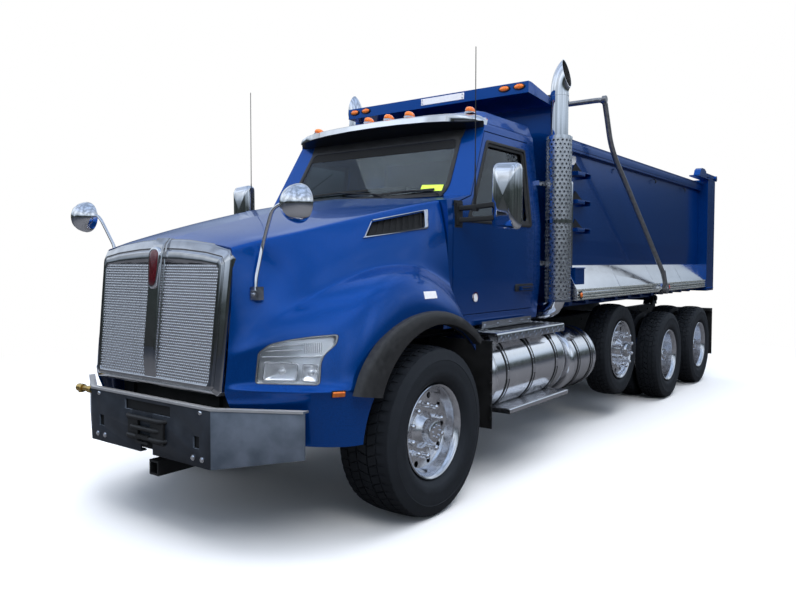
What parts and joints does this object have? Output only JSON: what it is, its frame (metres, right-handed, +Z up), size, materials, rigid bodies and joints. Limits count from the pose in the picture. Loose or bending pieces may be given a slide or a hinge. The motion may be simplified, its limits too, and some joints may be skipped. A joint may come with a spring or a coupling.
{
  "type": "dump truck",
  "caption": "Bonneted dump truck with tilting hood, steered front axle, raised lift axle, twin-tyre driven axles, opening doors and a hoisted tipping body with a swinging tailgate.",
  "frame": {"origin": "on the ground under the middle of the truck's length and width", "axes": "+Z up, -Y towards the front bumper, +X towards the truck's left side (the driver's side)"},
  "size_m": [2.91, 8.425, 3.3531],
  "materials": {
    "blue_paint": "deep metallic blue, clear coated",
    "chassis_black": "satin black chassis paint",
    "bumper_grey": "mottled slate grey steel",
    "chrome": "polished",
    "aluminium": "polished",
    "stainless": "polished stainless sheet",
    "cylinder_steel": "ground steel",
    "tyre": "rubber",
    "black_plastic": "grained dark grey",
    "cab_glass": "lightly tinted",
    "lamp_glass": "clear lens",
    "seat_fabric": "woven grey",
    "flap_rubber": "black rubber"
  },
  "bodies": {
    "chassis": {"axles": "chassis_black", "bumper": "bumper_grey", "cab_glass": "cab_glass", "cab_roof": "blue_paint", "cab_shell": "blue_paint", "dash": "black_plastic", "exhaust_stacks": "chrome", "frame": "chassis_black", "mudflaps": "flap_rubber", "powertrain": "chassis_black", "seats": "seat_fabric", "side_boxes": "aluminium", "steps": "aluminium", "suspension": "chassis_black", "tanks": "aluminium", "tow_hitch": "chassis_black", "visor": "chrome"},
    "hood": {"hood_shell": "blue_paint", "fenders": "blue_paint", "flares": "black_plastic", "headlamps": "lamp_glass", "grille_surround": "chrome", "grille_mesh": "chrome", "hood_mirrors": "chrome"},
    "door_left": {"door_left": "blue_paint", "door_glass_left": "cab_glass", "mirror_left": "chrome"},
    "door_right": {"door_right": "blue_paint", "door_glass_right": "cab_glass", "mirror_right": "chrome"},
    "knuckle_left": {"knuckle_left": "chassis_black"},
    "knuckle_right": {"knuckle_right": "chassis_black"},
    "tie_rod": {"tie_rod": "chassis_black"},
    "bed": {"bed_floor": "blue_paint", "bed_front": "blue_paint", "bed_sides": "blue_paint", "bed_skirts": "stainless", "tarp_roller": "chassis_black"},
    "tailgate": {"tailgate": "blue_paint"},
    "tarp_arms": {"tarp_arms": "aluminium"},
    "hoist_barrel": {"hoist_barrel": "cylinder_steel"},
    "hoist_stage_1": {"hoist_stage_1": "cylinder_steel"},
    "hoist_stage_2": {"hoist_stage_2": "cylinder_steel"},
    "hoist_stage_3": {"hoist_stage_3": "cylinder_steel"},
    "wheel_front_left": {"rim_front_left": "aluminium", "tyre_front_left": "tyre"},
    "wheel_lift_left": {"rim_lift_left": "aluminium", "tyre_lift_left": "tyre"},
    "wheel_drive1_left": {"rims_drive1_left": "aluminium", "tyres_drive1_left": "tyre"},
    "wheel_drive2_left": {"rims_drive2_left": "aluminium", "tyres_drive2_left": "tyre"},
    "wheel_front_right": {"rim_front_right": "aluminium", "tyre_front_right": "tyre"},
    "wheel_lift_right": {"rim_lift_right": "aluminium", "tyre_lift_right": "tyre"},
    "wheel_drive1_right": {"rims_drive1_right": "aluminium", "tyres_drive1_right": "tyre"},
    "wheel_drive2_right": {"rims_drive2_right": "aluminium", "tyres_drive2_right": "tyre"}
  },
  "joints": [
    {"name": "hood_tilt", "type": "hinge", "parent": "chassis", "child": "hood", "pos_m": [0, -4.0275, 0.92], "axis": [1, 0, 0], "range_deg": [0, 60]},
    {"name": "door_left_swing", "type": "hinge", "parent": "chassis", "child": "door_left", "pos_m": [1.041, -2.4275, 1.8], "axis": [0, 0, -1], "range_deg": [0, 65]},
    {"name": "door_right_swing", "type": "hinge", "parent": "chassis", "child": "door_right", "pos_m": [-1.041, -2.4275, 1.8], "axis": [0, 0, 1], "range_deg": [0, 65]},
    {"name": "steer_left", "type": "hinge", "parent": "chassis", "child": "knuckle_left", "pos_m": [0.905, -2.8825, 0.546], "axis": [0, 0, 1], "range_deg": [-35, 35]},
    {"name": "steer_right", "type": "hinge", "parent": "chassis", "child": "knuckle_right", "pos_m": [-0.905, -2.8825, 0.546], "axis": [0, 0, 1], "range_deg": [-35, 35]},
    {"name": "tie_rod_pivot", "type": "hinge", "parent": "knuckle_left", "child": "tie_rod", "pos_m": [0.795, -2.5775, 0.421], "axis": [0, 0, 1], "range_deg": [-39.6, 39.6]},
    {"name": "bed_tilt", "type": "hinge", "parent": "chassis", "child": "bed", "pos_m": [0, 3.9675, 1.105], "axis": [-1, 0, 0], "range_deg": [0, 50]},
    {"name": "tailgate_swing", "type": "hinge", "parent": "bed", "child": "tailgate", "pos_m": [0, 4.1375, 2.8], "axis": [1, 0, 0], "range_deg": [0, 70]},
    {"name": "tarp_swing", "type": "hinge", "parent": "bed", "child": "tarp_arms", "pos_m": [0, 1.6915, 1.33], "axis": [-1, 0, 0], "range_deg": [0, 95]},
    {"name": "hoist_swing", "type": "hinge", "parent": "chassis", "child": "hoist_barrel", "pos_m": [0, -0.5825, 0.87], "axis": [-1, 0, 0], "range_deg": [0, 30.46]},
    {"name": "hoist_slide_1", "type": "slide", "parent": "hoist_barrel", "child": "hoist_stage_1", "axis": [0, 0, 1], "range_m": [0, 1.2406]},
    {"name": "hoist_slide_2", "type": "slide", "parent": "hoist_stage_1", "child": "hoist_stage_2", "axis": [0, 0, 1], "range_m": [0, 1.2406]},
    {"name": "hoist_slide_3", "type": "slide", "parent": "hoist_stage_2", "child": "hoist_stage_3", "axis": [0, 0, 1], "range_m": [0, 1.2406]},
    {"name": "spin_front_left", "type": "hinge", "parent": "knuckle_left", "child": "wheel_front_left", "pos_m": [1.035, -2.8825, 0.546], "axis": [1, 0, 0], "continuous": true},
    {"name": "spin_lift_left", "type": "hinge", "parent": "chassis", "child": "wheel_lift_left", "pos_m": [0.975, 0.7865, 0.709], "axis": [1, 0, 0], "continuous": true},
    {"name": "spin_drive1_left", "type": "hinge", "parent": "chassis", "child": "wheel_drive1_left", "pos_m": [0.912, 2.1585, 0.517], "axis": [1, 0, 0], "continuous": true},
    {"name": "spin_drive2_left", "type": "hinge", "parent": "chassis", "child": "wheel_drive2_left", "pos_m": [0.912, 3.5315, 0.517], "axis": [1, 0, 0], "continuous": true},
    {"name": "spin_front_right", "type": "hinge", "parent": "knuckle_right", "child": "wheel_front_right", "pos_m": [-1.035, -2.8825, 0.546], "axis": [1, 0, 0], "continuous": true},
    {"name": "spin_lift_right", "type": "hinge", "parent": "chassis", "child": "wheel_lift_right", "pos_m": [-0.975, 0.7865, 0.709], "axis": [1, 0, 0], "continuous": true},
    {"name": "spin_drive1_right", "type": "hinge", "parent": "chassis", "child": "wheel_drive1_right", "pos_m": [-0.912, 2.1585, 0.517], "axis": [1, 0, 0], "continuous": true},
    {"name": "spin_drive2_right", "type": "hinge", "parent": "chassis", "child": "wheel_drive2_right", "pos_m": [-0.912, 3.5315, 0.517], "axis": [1, 0, 0], "continuous": true}
  ],
  "couplings": [
    {"joint": "steer_right", "follows": "steer_left", "ratio": 1},
    {"joint": "tie_rod_pivot", "follows": "steer_left", "ratio": -1.126},
    {"joint": "hoist_swing", "follows": "bed_tilt", "ratio": 0.6052},
    {"joint": "hoist_slide_1", "follows": "bed_tilt", "m_per_rad": 1.4193},
    {"joint": "hoist_slide_2", "follows": "bed_tilt", "m_per_rad": 1.4193},
    {"joint": "hoist_slide_3", "follows": "bed_tilt", "m_per_rad": 1.4193}
  ]
}
